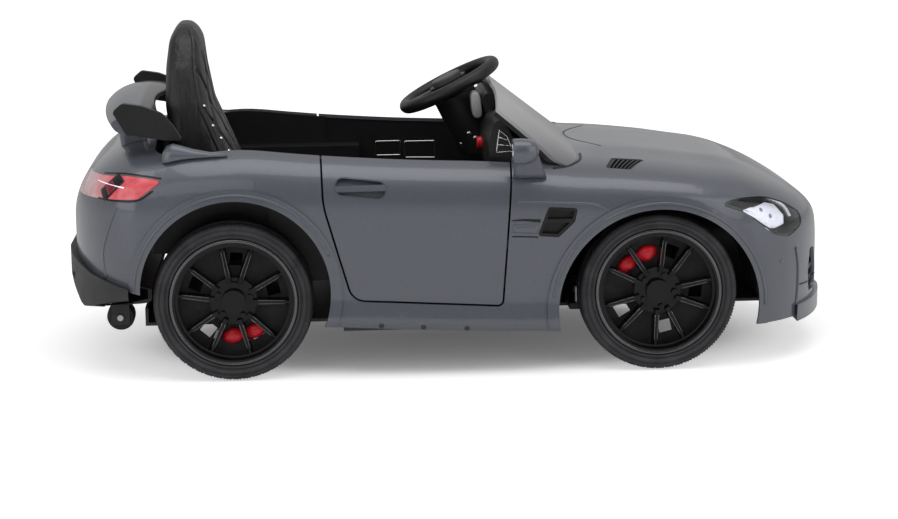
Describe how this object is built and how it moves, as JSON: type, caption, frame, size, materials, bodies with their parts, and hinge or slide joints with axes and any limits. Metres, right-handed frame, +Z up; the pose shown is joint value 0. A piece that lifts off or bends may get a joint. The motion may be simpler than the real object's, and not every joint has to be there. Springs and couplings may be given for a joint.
{
  "type": "electric ride-on car",
  "caption": "Child's electric ride-on roadster with opening doors, a steering wheel that turns the front wheels, a tall tufted seat, a rear wing and small transport rollers.",
  "frame": {"origin": "on the ground, midway along and across the car", "axes": "+X forward, +Y to the car's left, +Z up"},
  "size_m": [1.0374, 0.578, 0.452],
  "materials": {
    "body_paint": "gloss metallic",
    "black_plastic": "satin",
    "grey_plastic": "satin",
    "steel": "satin",
    "clear_lamp": "clear",
    "lamp_reflector": "polished",
    "red_lamp": "gloss",
    "screen": "satin",
    "mirror_glass": "polished",
    "button_red": "gloss",
    "seat_leather": "satin",
    "tyre": "matte",
    "rim_black": "gloss",
    "caliper_red": "gloss"
  },
  "bodies": {
    "chassis": {"body_shell": "body_paint", "arch_lips": "body_paint", "rear_wing": "body_paint", "wing_pedestal": "body_paint", "mirror_housings": "body_paint", "front_splitter": "body_paint", "arch_liners": "black_plastic", "chassis_pan": "black_plastic", "cockpit_tub": "black_plastic", "body_vents": "black_plastic", "front_grilles": "black_plastic", "rear_diffuser": "black_plastic", "wing_arms": "black_plastic", "windscreen_frame": "black_plastic", "dashboard": "black_plastic", "steering_column": "black_plastic", "charging_socket": "black_plastic", "gear_motors": "black_plastic", "control_box": "black_plastic", "battery": "black_plastic", "front_axle_beam": "black_plastic", "door_hinge_pins": "steel", "rear_axle": "steel", "headlamp_covers": "clear_lamp", "headlamp_units": "lamp_reflector", "tail_lamps": "red_lamp", "windscreen": "screen", "mirror_glasses": "mirror_glass", "seat_back": "seat_leather", "seat_cushion": "seat_leather"},
    "door_right": {"door_skin_right": "body_paint", "door_panel_right": "black_plastic", "door_handle_right": "body_paint"},
    "door_left": {"door_skin_left": "body_paint", "door_panel_left": "black_plastic", "door_handle_left": "body_paint"},
    "steering": {"steering_wheel": "black_plastic", "steering_shaft": "steel"},
    "horn": {"horn_pad": "grey_plastic"},
    "knuckle_right": {"knuckle_right": "steel"},
    "knuckle_left": {"knuckle_left": "steel"},
    "track_rod": {"tie_rod": "black_plastic"},
    "rollers": {"transport_rollers": "black_plastic", "roller_axle": "steel"},
    "accelerator": {"pedal": "black_plastic"},
    "power": {"power_button": "button_red"},
    "direction": {"direction_switch": "black_plastic"},
    "wheel_front_right": {"tyre_front_right": "tyre", "rim_front_right": "rim_black", "caliper_front_right": "caliper_red"},
    "wheel_front_left": {"tyre_front_left": "tyre", "rim_front_left": "rim_black", "caliper_front_left": "caliper_red"},
    "wheel_rear_right": {"tyre_rear_right": "tyre", "rim_rear_right": "rim_black", "caliper_rear_right": "caliper_red"},
    "wheel_rear_left": {"tyre_rear_left": "tyre", "rim_rear_left": "rim_black", "caliper_rear_left": "caliper_red"}
  },
  "joints": [
    {"name": "door_right_swing", "type": "hinge", "parent": "chassis", "child": "door_right", "pos_m": [0.04, -0.247, 0.177], "axis": [0, 0, 1], "range_deg": [0, 50]},
    {"name": "door_left_swing", "type": "hinge", "parent": "chassis", "child": "door_left", "pos_m": [0.04, 0.247, 0.177], "axis": [0, 0, -1], "range_deg": [0, 50]},
    {"name": "steering_turn", "type": "hinge", "parent": "chassis", "child": "steering", "pos_m": [0.007, 0, 0.357], "axis": [-0.4384, 0, 0.8988], "range_deg": [-40, 40]},
    {"name": "horn_press", "type": "slide", "parent": "steering", "child": "horn", "axis": [0.4384, 0, -0.8988], "range_m": [0, 0.002], "stiffness_N_per_m": 400, "springref_m": -0.002},
    {"name": "knuckle_right_steer", "type": "hinge", "parent": "chassis", "child": "knuckle_right", "pos_m": [0.265, -0.165, 0.105], "axis": [0, 0, 1], "range_deg": [-17.5, 17.5]},
    {"name": "knuckle_left_steer", "type": "hinge", "parent": "chassis", "child": "knuckle_left", "pos_m": [0.265, 0.165, 0.105], "axis": [0, 0, 1], "range_deg": [-17.5, 17.5]},
    {"name": "track_rod_slide", "type": "slide", "parent": "chassis", "child": "track_rod", "axis": [0, 1, 0], "range_m": [-0.03, 0.03]},
    {"name": "wheel_front_right_spin", "type": "hinge", "parent": "knuckle_right", "child": "wheel_front_right", "pos_m": [0.265, -0.222, 0.105], "axis": [0, 1, 0], "continuous": true},
    {"name": "wheel_front_left_spin", "type": "hinge", "parent": "knuckle_left", "child": "wheel_front_left", "pos_m": [0.265, 0.222, 0.105], "axis": [0, 1, 0], "continuous": true},
    {"name": "wheel_rear_right_spin", "type": "hinge", "parent": "chassis", "child": "wheel_rear_right", "pos_m": [-0.293, -0.222, 0.105], "axis": [0, 1, 0], "continuous": true},
    {"name": "wheel_rear_left_spin", "type": "hinge", "parent": "chassis", "child": "wheel_rear_left", "pos_m": [-0.293, 0.222, 0.105], "axis": [0, 1, 0], "continuous": true},
    {"name": "rollers_spin", "type": "hinge", "parent": "chassis", "child": "rollers", "pos_m": [-0.446, 0, 0.073], "axis": [0, 1, 0], "continuous": true},
    {"name": "accelerator_press", "type": "hinge", "parent": "chassis", "child": "accelerator", "pos_m": [0.034, -0.092, 0.121], "axis": [0, 1, 0], "range_deg": [0, 14], "stiffness_Nm_per_rad": 0.4, "springref_deg": -20.05},
    {"name": "power_press", "type": "slide", "parent": "chassis", "child": "power", "axis": [1, 0, 0], "range_m": [0, 0.003], "stiffness_N_per_m": 300, "springref_m": -0.002},
    {"name": "direction_rock", "type": "hinge", "parent": "chassis", "child": "direction", "pos_m": [0.05, 0.062, 0.284], "axis": [0, 1, 0], "range_deg": [-12, 12]}
  ],
  "couplings": [
    {"joint": "knuckle_right_steer", "follows": "steering_turn", "ratio": 0.43},
    {"joint": "knuckle_left_steer", "follows": "steering_turn", "ratio": 0.43},
    {"joint": "track_rod_slide", "follows": "steering_turn", "m_per_rad": -0.0425}
  ]
}
